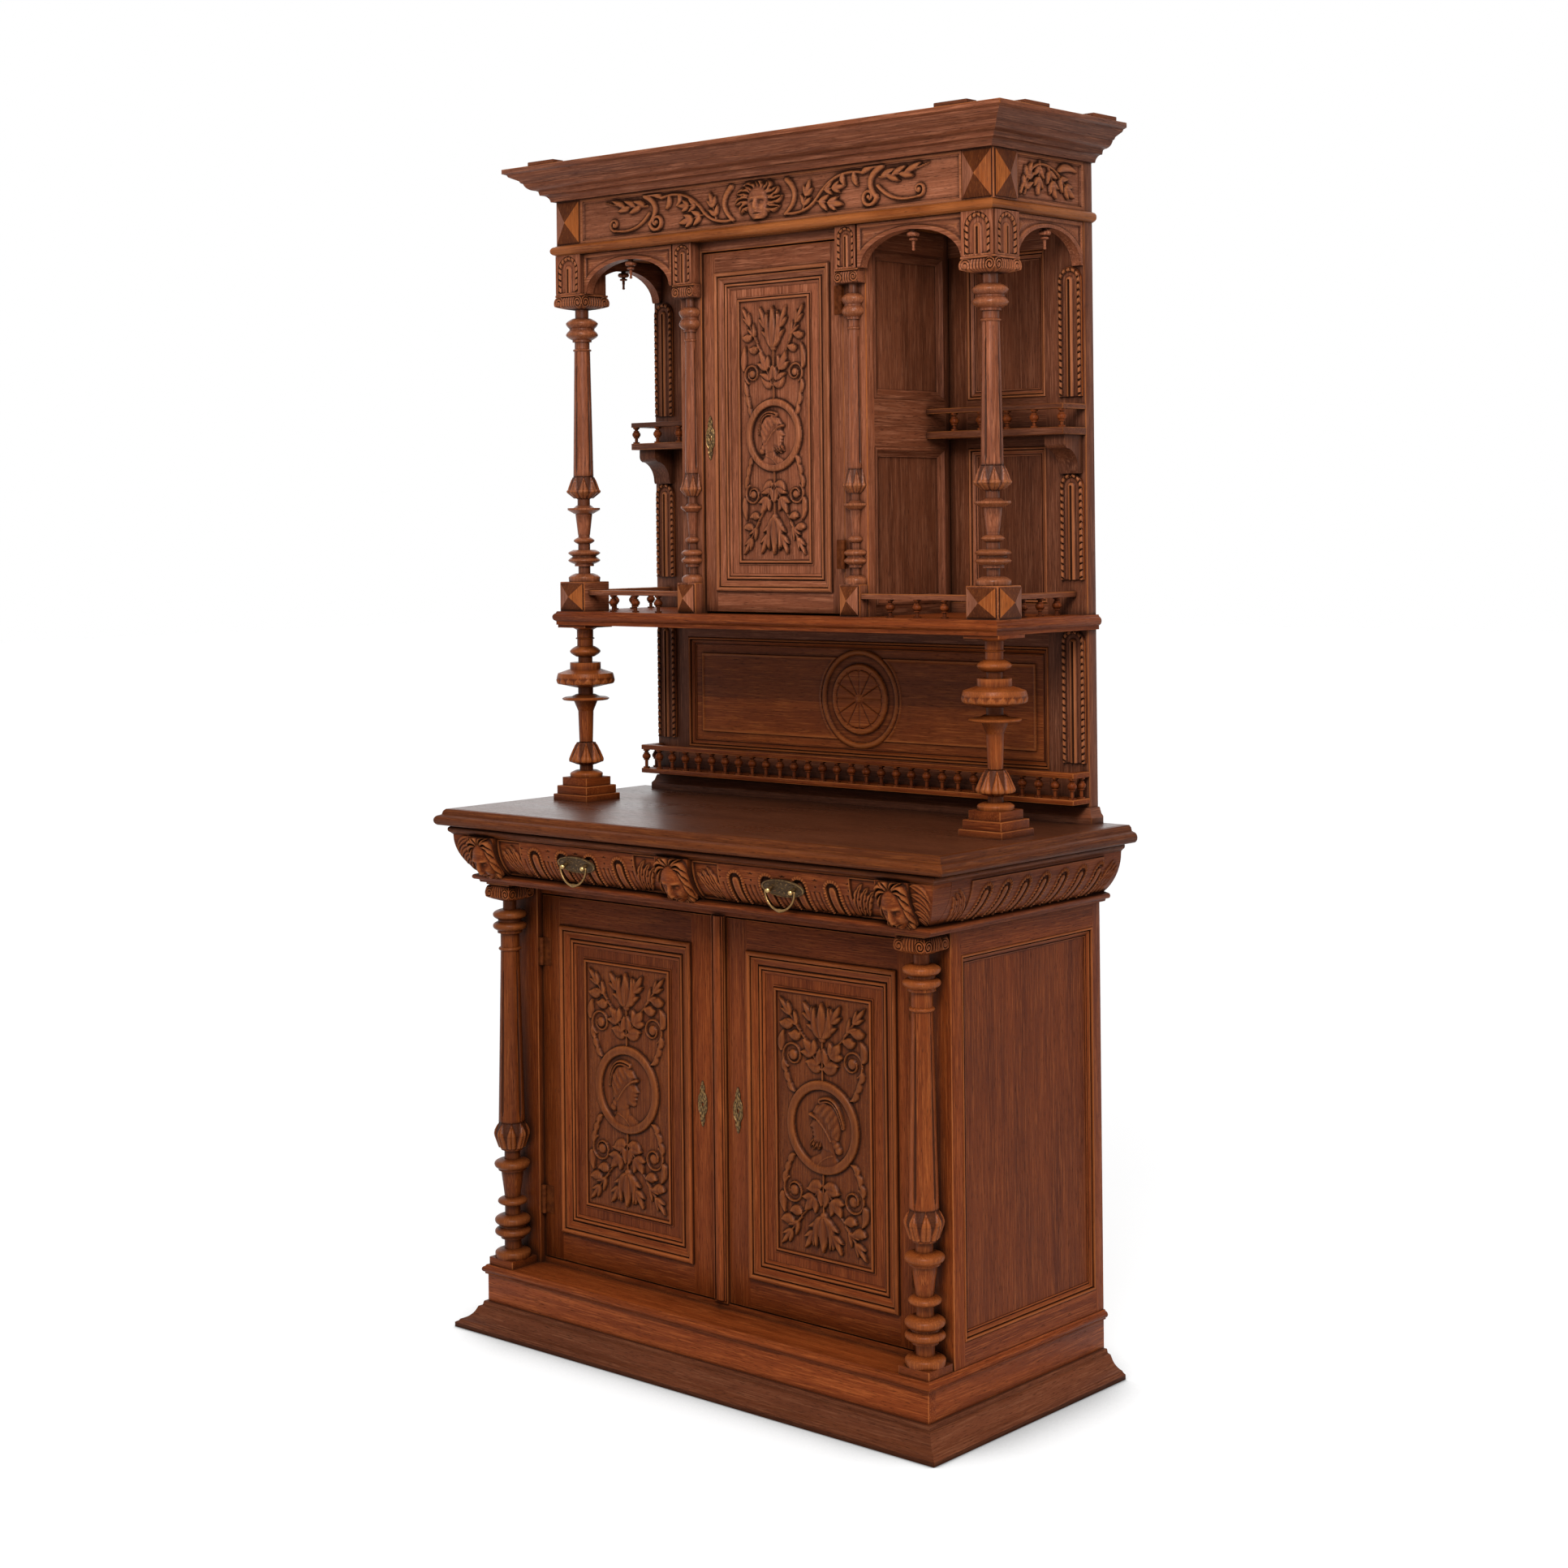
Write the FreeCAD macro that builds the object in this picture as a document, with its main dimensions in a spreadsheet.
import FreeCAD, Part
import os
import re

import Sketcher

# Carved oak serving cabinet: a base with two doors and two drawers, and an upper dresser with a
# cupboard between two open niches. Millimetres, X to the right, Y to the back, Z up, with the
# origin on the floor under the middle of the worktop.

doc = FreeCAD.newDocument("serving_cabinet")
sheet = doc.addObject("Spreadsheet::Sheet", "dims")
Vector = FreeCAD.Vector

RIGHT = Vector(1, 0, 0)
LEFT = Vector(-1, 0, 0)
BACK = Vector(0, 1, 0)
FRONT = Vector(0, -1, 0)
UP = Vector(0, 0, 1)
DOWN = Vector(0, 0, -1)

# Driving sizes. A depth is measured forward from the flat back of the cabinet.
SIZES = {
    # worktop
    "top_side_overhang": 86, "top_front_overhang": 71, "top_height": 1040, "top_thickness": 32,
    "nosing_width": 30, "top_joint_depth": 370, "under_top_height": 18, "under_top_projection": 58,
    # lower case
    "case_length": 1124, "case_depth": 462, "plinth_step": 75, "drawer_step": 62,
    "base_height": 50, "base_projection": 48, "plinth_height": 105, "plinth_board": 20,
    "floor_thickness": 18, "bead_projection": 9, "sill_height": 11, "sill_depth": 30,
    "head_rail_height": 25, "side_thickness": 26, "side_front_stile": 30, "side_rear_stile": 25,
    "side_top_rail": 46, "side_bottom_rail": 42, "panel_thickness": 10, "panel_recess": 8,
    "back_thickness": 14, "post_width": 49, "centre_post_width": 34, "centre_post_depth": 26,
    "shelf_rise": 357, "shelf_thickness": 20, "shelf_setback": 62, "cleat_size": 15,
    "ledge_height": 18, "ledge_projection": 24, "drawer_zone_height": 79, "frieze_flare": 50,
    "frieze_foot": 10, "frieze_bulge": 10, "mask_width": 74, "middle_mask_width": 84,
    "mask_projection": 8, "mask_head_rise": 33, "mask_head_side": 26.5, "mask_head_depth": 22,
    "rail_thickness": 20, "divider_width": 24, "guide_width": 8,
    "guide_height": 20, "drawer_side_board": 18,
    # lower columns
    "column_inset": 35, "column_stand": 38, "column_block_side": 68, "column_block_height": 15,
    "capital_side": 70, "capital_height": 37,
    # doors
    "door_recess": 12, "door_thickness": 24, "door_gap": 2.5, "door_stile": 52, "door_rail": 56,
    "door_panel_recess": 6, "door_panel_thickness": 12, "moulding_width": 41, "moulding_rise": 14,
    "field_margin": 32, "field_moulding_width": 12, "field_moulding_rise": 5,
    "medallion_radius": 82, "medallion_rise": 6,
    # hinges, locks and brasses
    "pin_radius": 2.5, "pin_clearance": 0.08, "knuckle_radius": 4.5, "knuckle_offset": 6,
    "knuckle_height": 18, "knuckle_gap": 0.4, "leaf_thickness": 1, "leaf_width": 22, "web_width": 3,
    "hinge_inset": 90, "lock_length": 60, "lock_depth": 34, "lock_thickness": 10, "bolt_height": 12,
    "bolt_thickness": 6, "lock_wall": 6, "bolt_clearance": 0.3, "bolt_throw": 9,
    "lock_rise": 370, "escutcheon_length": 64, "escutcheon_width": 24, "escutcheon_thickness": 1.5,
    "keyhole_radius": 3,
    # drawers and pulls
    "drawer_gap": 2, "drawer_back_gap": 62, "drawer_board": 10, "drawer_bottom": 6, "drawer_wall": 60,
    "runner_gap": 0.3, "pull_plate_length": 101, "pull_plate_height": 36, "pull_plate_thickness": 2,
    "pull_post_spacing": 54, "pull_rise": 10, "pull_post_radius": 4, "pull_post_length": 13,
    "bail_radius": 35, "bail_rod": 2.2, "bail_pin": 2, "bail_pin_length": 14, "bail_stand_off": 9,
    # dresser
    "dresser_setback": 1, "dresser_depth": 318, "back_frame_thickness": 28, "back_stile": 91,
    "serving_rail": 95, "serving_panel_height": 235, "back_top_rail": 157, "niche_inner_stile": 44,
    "niche_rail": 93, "niche_upper_height": 280, "foot_moulding_height": 30, "foot_projection": 12,
    "pilaster_width": 52, "pilaster_rise": 4, "pilaster_margin": 5, "panel_moulding_width": 18,
    "rosette_radius": 73, "rosette_rise": 6, "plate_shelf_depth": 54, "plate_shelf_height": 38,
    "plate_shelf_thickness": 10, "plate_rail_height": 40, "rail_width": 16, "rail_height": 10,
    "serving_height": 364, "mid_shelf_thickness": 28, "shelf_nosing": 12,
    "dresser_column_inset": 33, "dresser_column_setback": 39, "dresser_column_height": 565,
    "block_side": 72, "block_height": 61,
    "pyramid_margin": 5, "pyramid_rise": 10, "dresser_capital_side": 82, "dresser_capital_height": 30,
    "impost_height": 82, "vase_foot_side": 98, "vase_middle_side": 87, "vase_top_side": 71,
    "vase_foot_height": 13, "vase_step_height": 17, "vase_cap_height": 6, "vase_cap_side": 80,
    "gallery_height": 34, "cupboard_width": 480, "cupboard_setback": 34, "cupboard_stile": 57,
    "cupboard_stile_thickness": 22, "cupboard_wall": 18, "cupboard_rear_stile": 16,
    "cupboard_door_recess": 4, "cupboard_door_thickness": 22, "cupboard_door_stile": 31,
    "cupboard_door_rail": 40, "cupboard_head_rail": 20, "cupboard_floor_gap": 4,
    "cupboard_medallion_radius": 69, "cupboard_moulding_width": 36, "cupboard_field_margin": 21,
    "cupboard_lock_rise": 349, "cupboard_lock_depth": 24, "cupboard_hinge_offset": 4.9,
    "cupboard_shelf_rise": 368, "half_column_block": 50,
    "half_column_projection": 22, "half_column_capital": 27, "half_capital_overhang": 4,
    "half_column_scale": 0.72,
    "niche_shelf_depth": 75, "niche_shelf_rise": 338, "niche_shelf_thickness": 14,
    "bracket_height": 72, "bracket_projection": 58, "bracket_width": 46, "arch_thickness": 18,
    "arch_rise": 62, "arch_margin": 8, "side_arch_inset": 8, "pendant_drop": 39, "soffit_thickness": 20,
    "half_round_projection": 10, "frieze_height": 92, "frieze_board": 20, "frieze_inset": 4,
    "cornice_height": 68, "cornice_projection": 80, "dust_board": 12, "top_cleat_length": 75,
    "top_cleat_width": 30, "top_cleat_setback": 4, "top_cleat_height": 8,
}

# Places that follow from the driving sizes.
PLACES = {
    "plinth_depth": "case_depth + plinth_step",
    "drawer_case_depth": "case_depth + drawer_step",
    "top_depth": "drawer_case_depth + top_front_overhang",
    "top_length": "case_length + 2 * top_side_overhang",
    "back": "top_depth / 2",
    "case_half": "case_length / 2",
    "floor_top": "plinth_height + floor_thickness",
    "opening_bottom": "floor_top + sill_height",
    "under_top_bottom": "top_height - top_thickness - under_top_height",
    "ledge_top": "under_top_bottom - drawer_zone_height",
    "ledge_bottom": "ledge_top - ledge_height",
    "opening_top": "ledge_bottom - head_rail_height",
    "wall_inside": "case_half - side_thickness",
    "opening_half": "wall_inside - post_width",
    "shelf_height": "floor_top + shelf_rise",
    "lock_height": "opening_bottom + lock_rise",
    "door_face": "case_depth - door_recess",
    "side_panel_face": "case_half - panel_recess",
    "column_half": "case_half - column_inset",
    "column_depth": "case_depth + column_stand",
    "column_foot": "floor_top + column_block_height",
    "column_head": "ledge_bottom - capital_height",
    "mask_inner": "case_half - mask_width",
    "middle_half": "middle_mask_width / 2",
    "mask_rear": "drawer_case_depth - rail_thickness",
    "drawer_low": "middle_half + drawer_gap",
    "drawer_high": "mask_inner - drawer_gap",
    "drawer_middle": "(drawer_low + drawer_high) / 2",
    "box_low": "drawer_low + 2 * guide_width",
    "box_high": "drawer_high - guide_width",
    "box_bottom": "ledge_top + runner_gap",
    "box_front": "mask_rear + drawer_gap",
    "box_rear": "back_thickness + drawer_back_gap",
    "face_run": "frieze_flare - frieze_foot - 2 * drawer_gap",
    "face_rise": "drawer_zone_height - 2 * drawer_gap",
    "face_tilt": "atan(face_run / face_rise)",
    "face_middle_depth": "drawer_case_depth + frieze_foot + face_run / 2",
    "face_middle_height": "ledge_top + drawer_zone_height / 2",
    "pull_depth": "face_middle_depth + pull_rise * sin(face_tilt) + frieze_bulge * cos(face_tilt)",
    "pull_height": "face_middle_height + pull_rise * cos(face_tilt) - frieze_bulge * sin(face_tilt)",
    "bail_reach": "pull_plate_thickness + bail_stand_off",
    "bail_depth": "pull_depth + bail_reach * cos(face_tilt)",
    "bail_height": "pull_height - bail_reach * sin(face_tilt)",
    "dresser_half": "case_half - dresser_setback",
    "back_inside": "dresser_half - back_stile",
    "pilaster_middle": "dresser_half - pilaster_margin - pilaster_width / 2",
    "serving_bottom": "top_height + serving_rail",
    "serving_top": "serving_bottom + serving_panel_height",
    "mid_shelf_height": "top_height + serving_height",
    "shelf_top": "mid_shelf_height + mid_shelf_thickness",
    "niche_bottom": "shelf_top + block_height / 3",
    "soffit_bottom": "block_top + dresser_column_height + dresser_capital_height + impost_height",
    "block_top": "shelf_top + block_height",
    "capital_bottom": "block_top + dresser_column_height",
    "impost_bottom": "capital_bottom + dresser_capital_height",
    "soffit_top": "soffit_bottom + soffit_thickness",
    "frieze_top": "soffit_top + frieze_height",
    "cornice_top": "frieze_top + cornice_height",
    "niche_top": "frieze_top - back_top_rail",
    "niche_rail_top": "niche_top - niche_upper_height",
    "niche_rail_bottom": "niche_rail_top - niche_rail",
    "dresser_column_half": "dresser_half - dresser_column_inset",
    "dresser_column_depth": "dresser_depth - dresser_column_setback",
    "block_low": "dresser_column_half - block_side / 2",
    "block_high": "dresser_column_half + block_side / 2",
    "block_front": "dresser_column_depth + block_side / 2",
    "block_rear": "dresser_column_depth - block_side / 2",
    "cupboard_half": "cupboard_width / 2",
    "cupboard_depth": "dresser_depth - cupboard_setback",
    "cupboard_lock_height": "shelf_top + cupboard_lock_rise",
    "cupboard_shelf_height": "shelf_top + cupboard_shelf_rise",
    "niche_shelf_height": "shelf_top + niche_shelf_rise",
    "cupboard_opening": "cupboard_half - cupboard_stile",
    "cupboard_door_face": "cupboard_depth - cupboard_door_recess",
    "half_column_middle": "cupboard_half - cupboard_stile / 2",
    "half_column_top": "impost_bottom - half_column_capital",
    "plate_shelf_bottom": "top_height + plate_shelf_height",
    "plate_shelf_top": "plate_shelf_bottom + plate_shelf_thickness",
    "plate_shelf_front": "back_frame_thickness + plate_shelf_depth",
    "niche_shelf_top": "niche_shelf_height + niche_shelf_thickness",
    "niche_shelf_front": "back_frame_thickness + niche_shelf_depth",
    "arch_bottom": "impost_bottom",
    "vase_bottom": "top_height + vase_foot_height + 2 * vase_step_height",
    "vase_top": "mid_shelf_height - vase_cap_height",
}
FUNCTIONS = ("atan", "cos", "sin")
WORD = re.compile(r"[a-z][a-z_]+")
MITRE_CUTTER = 400
# A turned ring swells by a share of its height, but by no more than a share of its radius.
RING_HEIGHT_SHARE = 0.42
RING_RADIUS_SHARE = 0.4

for row, (alias, size) in enumerate(SIZES.items(), 1):
    sheet.set(f"A{row}", alias)
    sheet.set(f"B{row}", str(size))
    sheet.setAlias(f"B{row}", alias)
doc.recompute()

nodes = {}


def bound(text):
    """A formula with its places written out and each size looked up in the sheet."""
    def written(match):
        word = match.group(0)
        if word in PLACES:
            return "(" + bound(PLACES[word]) + ")"
        return word if word in FUNCTIONS else "dims." + word
    return WORD.sub(written, str(text))


def number(text):
    """The value of a formula in millimetres or degrees."""
    result = sheet.evalExpression(bound(text))
    return float(getattr(result, "Value", result))


def bind(thing, place, text):
    thing.setExpression(place, bound(text))


def seat(thing, x, y, z):
    for axis, text in zip("xyz", (x, y, z)):
        bind(thing, f"Placement.Base.{axis}", text)


def add(node, thing):
    nodes.setdefault(node, []).append(thing)
    return thing


def behind(depth):
    """The Y place that lies a depth forward of the flat back."""
    return f"back - ({depth})"


def box(name, x, y, z):
    """A box between pairs of limits along X, Y and Z."""
    solid = doc.addObject("Part::Box", name)
    for size, (low, high) in zip(("Length", "Width", "Height"), (x, y, z)):
        bind(solid, size, f"({high}) - ({low})")
    seat(solid, x[0], y[0], z[0])
    return solid


def depths(front, rear):
    return behind(front), behind(rear)


def board(node, x, y, z):
    return add(node, box(node, x, y, z))


def mirrored(node, thing):
    """The same piece on the other side of the middle of the cabinet."""
    twin = doc.addObject("Part::Mirroring", node)
    twin.Source = thing
    twin.Normal = RIGHT
    return add(node, twin)


def boards(node, x, y, z):
    """A board on the right and its twin on the left."""
    mirrored(node, board(node, x, y, z))


def middle_board(node, half, y, z):
    return board(node, (f"-({half})", half), y, z)


def difference(base, tool):
    cut = doc.addObject("Part::Cut", base.Name + "_cut")
    cut.Base = base
    cut.Tool = tool
    return cut


def union(name, pieces):
    joined = doc.addObject("Part::MultiFuse", name)
    joined.Shapes = pieces
    return joined


def cylinder(name, radius, height, x, y, z, axis=UP):
    rod = doc.addObject("Part::Cylinder", name)
    bind(rod, "Radius", radius)
    bind(rod, "Height", height)
    rod.Placement.Rotation = FreeCAD.Rotation(UP, axis)
    seat(rod, x, y, z)
    return rod


def outline(sketch, points):
    """A closed outline through points (across, up), each a formula. A third number makes the stretch
    from that point to the next an arc that swells by so much to the right of its direction."""
    spots = [Vector(number(point[0]), number(point[1]), 0) for point in points]
    turns = spots[1:] + spots[:1]
    edges = []
    for point, start, end in zip(points, spots, turns):
        if len(point) == 2:
            edges.append(Part.LineSegment(start, end))
            continue
        along = (end - start).normalize()
        swell = Vector(along.y, -along.x, 0) * number(point[2])
        edges.append(Part.Arc(start, (start + end) / 2 + swell, end))
    sketch.addGeometry(edges, False)
    first = []
    last = []
    for index, start in enumerate(spots):
        forward = sketch.getPoint(index, 1).distanceToPoint(start) < 1e-6
        first.append(1 if forward else 2)
        last.append(2 if forward else 1)
    rules = []
    formulas = []
    for index, point in enumerate(points):
        before = index - 1 if index else len(points) - 1
        rules.append(Sketcher.Constraint("Coincident", before, last[before], index, first[index]))
        for kind, axis, text, place in (("DistanceX", -2, point[0], spots[index].x),
                                        ("DistanceY", -1, point[1], spots[index].y)):
            if abs(place) < 1e-9:
                rules.append(Sketcher.Constraint("PointOnObject", index, first[index], axis))
                continue
            formulas.append((len(rules), text))
            rules.append(Sketcher.Constraint(kind, -1, 1, index, first[index], place))
        if len(point) == 3:
            centre = sketch.Geometry[index].Center
            flat = abs(turns[index].x - spots[index].x) > abs(turns[index].y - spots[index].y)
            kind, place = ("DistanceY", centre.y) if flat else ("DistanceX", centre.x)
            if abs(place) < 1e-9:
                rules.append(Sketcher.Constraint("PointOnObject", index, 3, -1 if flat else -2))
            else:
                rules.append(Sketcher.Constraint(kind, -1, 1, index, 3, place))
    sketch.addConstraint(rules)
    for index, text in formulas:
        if WORD.search(str(text)):
            bind(sketch, f"Constraints[{index}]", text)


def prism(name, corner, across, up, points, length, back_by="0"):
    """An outline drawn along across and up from a corner, carried square to itself by a length."""
    along = across.cross(up)
    sketch = doc.addObject("Sketcher::SketchObject", name + "_outline")
    sketch.Placement.Rotation = FreeCAD.Rotation(across, up, along, "XYZ")
    seat(sketch, *(f"{text} - ({step}) * ({back_by})" for text, step in zip(corner, along)))
    outline(sketch, points)
    solid = doc.addObject("Part::Extrusion", name)
    solid.Base = sketch
    solid.DirMode = "Custom"
    solid.Dir = along
    bind(solid, "LengthFwd", length)
    solid.Solid = True
    return solid


def mitre(name, corner, along, out, kind):
    """A block that takes away all that lies beyond a mitre through a corner, seen from inside it."""
    slope = (out - along if kind == "outer" else out + along).normalize()
    beyond = (along * -1 - out if kind == "outer" else out - along).normalize()
    block = doc.addObject("Part::Box", name + "_mitre")
    block.Length = block.Width = block.Height = MITRE_CUTTER
    height = slope.cross(beyond)
    block.Placement.Rotation = FreeCAD.Rotation(slope, beyond, height, "XYZ")
    shift = (slope + height) * (-MITRE_CUTTER / 2)
    seat(block, *(f"{text} + ({step})" for text, step in zip(corner, shift)))
    return block


def strip(node, corner, along, out, up, length, points, ends, reach="0"):
    """A length of moulding with square, inner or outer mitred ends. Its outline is drawn along out and
    up from the corner, and an outer mitre runs on past the length by as much as the outline reaches."""
    before = reach if ends[0] == "outer" else "0"
    after = reach if ends[1] == "outer" else "0"
    far = [f"{text} + ({step}) * ({length})" for text, step in zip(corner, along)]
    full = f"({length}) + ({before}) + ({after})"
    forwards = out.cross(up).dot(along) > 0
    if forwards:
        solid = prism(node, corner, out, up, points, full, before)
    else:
        solid = prism(node, far, out, up, points, full, after)
    if ends[0] != "square":
        solid = difference(solid, mitre(node, corner, along, out, ends[0]))
    if ends[1] != "square":
        solid = difference(solid, mitre(node, far, along * -1, out, ends[1]))
    return add(node, solid)


def surround(node, half, depth, height, points, reach):
    """Mitred moulding along the front and both sides, its outline drawn outwards and upwards."""
    front = (f"-({half})", behind(depth), height)
    side = (half, behind(depth), height)
    strip(node, front, RIGHT, FRONT, UP, f"2 * ({half})", points, ("outer", "outer"), reach)
    mirrored(node, strip(node, side, BACK, RIGHT, UP, depth, points, ("outer", "square"), reach))


def ring_frame(node, corner, across, rise, proud, width, height, points):
    """Four mitred strips just inside a rectangle, each outline drawn inwards and then proud of it."""
    def spot(step_across, step_up):
        return [f"{text} + ({a}) * ({width}) * {step_across} + ({b}) * ({height}) * {step_up}"
                for text, a, b in zip(corner, across, rise)]
    mitres = ("inner", "inner")
    return [strip(node, spot(0, 0), across, rise, proud, width, points, mitres),
            strip(node, spot(1, 0), rise, across * -1, proud, height, points, mitres),
            strip(node, spot(1, 1), across * -1, rise * -1, proud, width, points, mitres),
            strip(node, spot(0, 1), rise * -1, across, proud, height, points, mitres)]


def ring_frames(node, *frame):
    """A mitred frame on the right and its twin on the left."""
    for moulding in ring_frame(node, *frame):
        mirrored(node, moulding)


def turned(name, members, x, y, z, scale=1, angle=360):
    """A turned piece. Each member is its height and its radius at the foot, and then, where they differ,
    its radius at the head, or the word ring for a half-round swelling up to that radius."""
    body = doc.addObject("PartDesign::Body", name)
    sketch = body.newObject("Sketcher::SketchObject", name + "_profile")
    plane = [item for item in body.Origin.OriginFeatures if item.Role == "XZ_Plane"][0]
    sketch.AttachmentSupport = [(plane, "")]
    sketch.MapMode = "FlatFace"
    points = [(0, 0)]
    level = "0"
    for height, foot, *head in members:
        top = f"{level} + {height}"
        if head == ["ring"]:
            swell = min(RING_HEIGHT_SHARE * number(height), RING_RADIUS_SHARE * foot) * scale
            points.append((foot * scale - swell, level, swell))
            points.append((foot * scale - swell, top))
        else:
            if points[-1][0] != foot * scale:
                points.append((foot * scale, level))
            points.append(((head[0] if head else foot) * scale, top))
        level = top
    points.append((0, level))
    outline(sketch, points)
    solid = body.newObject("PartDesign::Revolution", name + "_turning")
    solid.Profile = sketch
    solid.ReferenceAxis = (sketch, ["V_Axis"])
    solid.Angle = angle
    body.Tip = solid
    seat(body, x, y, z)
    return body


def row(body, axis, length, count):
    """Repeats a turned piece evenly along a line."""
    pattern = body.newObject("PartDesign::LinearPattern", body.Name + "_row")
    pattern.Originals = [body.Tip]
    pattern.Direction = (body.Tip.Profile[0], [axis])
    bind(pattern, "Length", length)
    pattern.Occurrences = count
    body.Tip = pattern
    return body


def pyramid(node, corner, across, up, width, height, rise):
    """A low pyramid on a face, from its lower corner."""
    solid = doc.addObject("Part::Wedge", node)
    out = across.cross(up)
    for axis, size in (("X", width), ("Z", height)):
        bind(solid, f"{axis}max", size)
        bind(solid, f"{axis}2min", f"({size}) / 2 - 0.5")
        bind(solid, f"{axis}2max", f"({size}) / 2 + 0.5")
    for edge in ("Xmin", "Ymin", "Zmin"):
        bind(solid, edge, 0)
    bind(solid, "Ymax", rise)
    solid.Placement.Rotation = FreeCAD.Rotation(across, out, up * -1, "XYZ")
    seat(solid, *(f"{text} + ({step}) * ({height})" for text, step in zip(corner, up)))
    return add(node, solid)


def oval(name, long_radius, short_radius, thickness, place, rotation):
    """A flat oval plate whose long axis lies along the turned X axis."""
    ring = doc.addObject("Part::Ellipse", name + "_outline")
    bind(ring, "MajorRadius", long_radius)
    bind(ring, "MinorRadius", short_radius)
    ring.Placement.Rotation = rotation
    seat(ring, *place)
    plate = doc.addObject("Part::Extrusion", name)
    plate.Base = ring
    plate.DirMode = "Custom"
    plate.Dir = rotation.multVec(UP)
    bind(plate, "LengthFwd", thickness)
    plate.Solid = True
    return plate


# Outlines of the mouldings, out from the face that they sit on and up from their lower edge.
BASE_PROFILE = [(0, 0), ("base_projection", 0), ("base_projection", 9), ("base_projection - 6", 12),
                ("base_projection - 8", 15, -4), (16, 36), (14, 40), (8, 42), (6, "base_height"),
                (0, "base_height")]
BEAD_PROFILE = [(0, 0), (4, 0), (4, 3, "bead_projection - 4"), (4, "floor_thickness - 3"),
                (2, "floor_thickness"), (0, "floor_thickness")]
LEDGE_PROFILE = [(0, 0), ("ledge_projection - 12", 0), ("ledge_projection - 10", 5),
                 ("ledge_projection - 4", 6, 4), ("ledge_projection - 4", "ledge_height - 2"),
                 ("ledge_projection - 12", "ledge_height"), (0, "ledge_height")]
FRIEZE_PROFILE = [(0, 0), ("frieze_foot", 0, "frieze_bulge"), ("frieze_flare", "drawer_zone_height"),
                  (0, "drawer_zone_height")]
UNDER_TOP_PROFILE = [(0, 0), ("under_top_projection - 8", 0), ("under_top_projection - 4", 4, 4),
                     ("under_top_projection - 4", "under_top_height - 2"),
                     ("under_top_projection - 6", "under_top_height"), (0, "under_top_height")]
NOSING_PROFILE = [(0, 0), ("nosing_width - 6", 0, 6), ("nosing_width - 6", "top_thickness - 13"),
                  ("nosing_width - 12", "top_thickness - 11"), ("nosing_width - 14", "top_thickness - 4"),
                  ("nosing_width - 18", "top_thickness"), (0, "top_thickness")]
SIDE_MOULDING = [(0, 0), (0, "panel_recess + 1"), (5, "panel_recess + 2"), (9, "panel_recess - 2"),
                 (13, "panel_recess - 3"), ("panel_moulding_width", 2), ("panel_moulding_width", 0)]
FIELD_MOULDING = [(0, 0), (0, 2), (4, "field_moulding_rise"), ("field_moulding_width - 4", 3),
                  ("field_moulding_width", 0)]
FOOT_PROFILE = [(0, 0), ("foot_projection", 0), ("foot_projection", 12), ("foot_projection - 5", 18),
                (3, "foot_moulding_height"), (0, "foot_moulding_height")]
SHELF_NOSING = [(0, 0), ("shelf_nosing - 6", 0), ("shelf_nosing - 6", 7),
                ("shelf_nosing - 5", 8, 5), ("shelf_nosing - 5", "mid_shelf_thickness - 4"),
                ("shelf_nosing - 7", "mid_shelf_thickness"), (0, "mid_shelf_thickness")]
HALF_ROUND = [(0, 0), (2, 0), (2, 1, "half_round_projection - 2"), (2, "soffit_thickness - 1"),
              (1, "soffit_thickness"), (0, "soffit_thickness")]
CORNICE_PROFILE = [(0, 0), (8, 0, -3), (20, 14), (24, 14), (26, 22), (30, 24, 4), (48, 38), (52, 40),
                   (54, 44), ("cornice_projection - 10", 52), ("cornice_projection - 8", 56),
                   ("cornice_projection", 59), ("cornice_projection", "cornice_height"),
                   (0, "cornice_height")]


def door_moulding(width):
    """The ridged moulding round a door panel, inwards from the frame and up from the panel."""
    return [(0, 0), (0, "moulding_rise - 3"), (4, "moulding_rise - 1", -1), (12, "moulding_rise - 1"),
            (16, "moulding_rise - 6"), (20, "moulding_rise - 6"), (23, "moulding_rise - 4"),
            (f"{width} - 9", "moulding_rise - 9"), (width, 2), (width, 0)]


# Turned members from the foot to the head.
COLUMN_FOOT = [(17, 33, "ring"), (15, 12.5), (5, 20), (14, 33.5, "ring"), (2, 25), (13, 33.5, "ring"),
               (12, 12.5), (14, 22, "ring"), (5, 12), (44, 12.5, 17.6), (8, 20, 33.7), (4, 33.7),
               (6, 22, 14), (14, 13), (12, 18, 33), (6, 33.5, "ring"), (26, 31, 22.8)]
COLUMN_HEAD = [(6, 19.5, "ring"), (14, 15.6), (4, 20), (21, 33.5, "ring"), (3, 26), (21, 33.5, "ring"),
               (18, 14)]
VASE_FOOT = [(14, 34, "ring"), (12, 14), (6, 17, 33), (8, 34, "ring"), (32, 33, 19.6)]
VASE_HEAD = [(22, 16, 25), (1, 30, 46), (6, 49, "ring"), (6, 33, 20), (14, 15.7), (8, 20, 57),
             (22, 59.8, "ring"), (8, 57, 33), (14, 32), (12, 14.8), (22, 32, "ring"), (14, 16.6),
             (4, 20, "ring"), (16, 17), (5, 18, 27)]
LOWER_FOOT = [(18, 36, "ring"), (20, 17), (4, 24), (19, 36, "ring"), (3, 26), (22, 36, "ring"),
              (18, 15.7), (17, 29.6, "ring"), (54, 15.7, 22.8), (3, 28), (20, 36, "ring"), (18, 15.7),
              (5, 22), (24, 25, 33.5), (10, 34, "ring"), (16, 33.5, 26)]
LOWER_HEAD = [(8, 23, "ring"), (28, 19), (5, 25), (18, 34, "ring"), (4, 23.6), (20, 34, "ring"),
              (18, 13.6)]
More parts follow.
